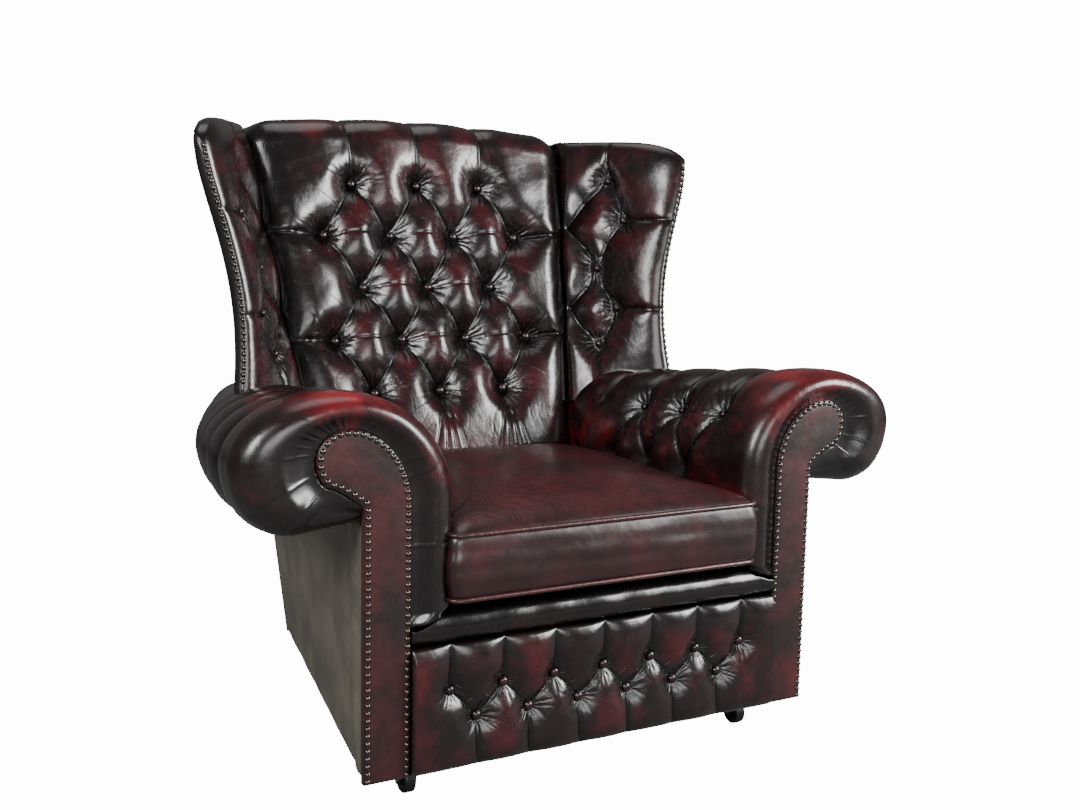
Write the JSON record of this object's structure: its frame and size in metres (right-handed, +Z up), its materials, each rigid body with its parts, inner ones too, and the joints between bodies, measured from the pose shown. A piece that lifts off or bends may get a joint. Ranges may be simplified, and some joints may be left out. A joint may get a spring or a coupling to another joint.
{
  "type": "tufted wing chair",
  "caption": "Deep-buttoned wing armchair in oxblood leather, with rolled arms, a loose welted seat cushion, nailed scroll facings and low castors.",
  "frame": {"origin": "on the floor, below the middle of the chair's width and depth", "axes": "+Z up; the front of the chair faces -Y; +X is to the right of someone who stands in front of it"},
  "size_m": [1.133, 0.845, 1.011],
  "materials": {
    "oxblood_leather": "glossy hand-rubbed oxblood leather, darker in the folds",
    "dark_leather": "near-black glossy leather",
    "outer_leather": "smooth dull burgundy leather",
    "beech": "plain sawn beech",
    "black_fabric": "black upholstery cloth",
    "cushion_foam": "seat foam",
    "spring_steel": "plain steel",
    "bronze_nails": "dark antique bronze domes",
    "castor_metal": "black painted steel",
    "castor_wheel": "black nylon"
  },
  "bodies": {
    "chair_frame": {"apron_buttons": "oxblood_leather", "arm_buttons": "oxblood_leather", "arm_facing_left": "oxblood_leather", "arm_facing_right": "oxblood_leather", "arm_left": "oxblood_leather", "arm_post_left": "beech", "arm_post_right": "beech", "arm_rail_left": "beech", "arm_rail_right": "beech", "arm_right": "oxblood_leather", "back_buttons": "oxblood_leather", "back_rail": "beech", "back_upright_left": "beech", "back_upright_right": "beech", "castor_sockets": "spring_steel", "corner_blocks": "beech", "crest_rail": "beech", "dust_cover": "black_fabric", "facing_nails_left": "bronze_nails", "facing_nails_right": "bronze_nails", "front_apron": "oxblood_leather", "front_lip": "dark_leather", "front_rail": "beech", "inside_back": "oxblood_leather", "inside_wing_left": "oxblood_leather", "inside_wing_right": "oxblood_leather", "outside_arm_left": "outer_leather", "outside_arm_right": "outer_leather", "outside_back": "outer_leather", "outside_wing_left": "outer_leather", "outside_wing_right": "outer_leather", "seat_deck": "black_fabric", "seat_springs": "spring_steel", "side_rail_left": "beech", "side_rail_right": "beech", "spring_clips": "spring_steel", "tacking_rail": "beech", "wing_buttons": "oxblood_leather", "wing_frame_left": "beech", "wing_frame_right": "beech", "wing_nails_left": "bronze_nails", "wing_nails_right": "bronze_nails"},
    "seat_cushion": {"cushion_cover": "oxblood_leather", "cushion_core": "cushion_foam", "cushion_welt_bottom": "dark_leather", "cushion_welt_top": "dark_leather"},
    "castor_swivel_front_left": {"castor_fork_front_left": "castor_metal", "castor_axle_front_left": "spring_steel"},
    "wheel_front_left": {"castor_wheel_front_left": "castor_wheel"},
    "castor_swivel_front_right": {"castor_fork_front_right": "castor_metal", "castor_axle_front_right": "spring_steel"},
    "wheel_front_right": {"castor_wheel_front_right": "castor_wheel"},
    "castor_swivel_rear_left": {"castor_fork_rear_left": "castor_metal", "castor_axle_rear_left": "spring_steel"},
    "wheel_rear_left": {"castor_wheel_rear_left": "castor_wheel"},
    "castor_swivel_rear_right": {"castor_fork_rear_right": "castor_metal", "castor_axle_rear_right": "spring_steel"},
    "wheel_rear_right": {"castor_wheel_rear_right": "castor_wheel"}
  },
  "joints": [
    {"name": "cushion_lift", "type": "slide", "parent": "chair_frame", "child": "seat_cushion", "axis": [0, 0, 1], "range_m": [0, 0.35]},
    {"name": "castor_swivel_front_left", "type": "hinge", "parent": "chair_frame", "child": "castor_swivel_front_left", "pos_m": [-0.3, -0.32051, 0.045], "axis": [0, 0, 1], "continuous": true},
    {"name": "wheel_spin_front_left", "type": "hinge", "parent": "castor_swivel_front_left", "child": "wheel_front_left", "pos_m": [-0.3, -0.33351, 0.02], "axis": [1, 0, 0], "continuous": true},
    {"name": "castor_swivel_front_right", "type": "hinge", "parent": "chair_frame", "child": "castor_swivel_front_right", "pos_m": [0.3, -0.32051, 0.045], "axis": [0, 0, 1], "continuous": true},
    {"name": "wheel_spin_front_right", "type": "hinge", "parent": "castor_swivel_front_right", "child": "wheel_front_right", "pos_m": [0.3, -0.33351, 0.02], "axis": [1, 0, 0], "continuous": true},
    {"name": "castor_swivel_rear_left", "type": "hinge", "parent": "chair_frame", "child": "castor_swivel_rear_left", "pos_m": [-0.205, 0.24849, 0.045], "axis": [0, 0, 1], "continuous": true},
    {"name": "wheel_spin_rear_left", "type": "hinge", "parent": "castor_swivel_rear_left", "child": "wheel_rear_left", "pos_m": [-0.205, 0.23549, 0.02], "axis": [1, 0, 0], "continuous": true},
    {"name": "castor_swivel_rear_right", "type": "hinge", "parent": "chair_frame", "child": "castor_swivel_rear_right", "pos_m": [0.205, 0.24849, 0.045], "axis": [0, 0, 1], "continuous": true},
    {"name": "wheel_spin_rear_right", "type": "hinge", "parent": "castor_swivel_rear_right", "child": "wheel_rear_right", "pos_m": [0.205, 0.23549, 0.02], "axis": [1, 0, 0], "continuous": true}
  ]
}
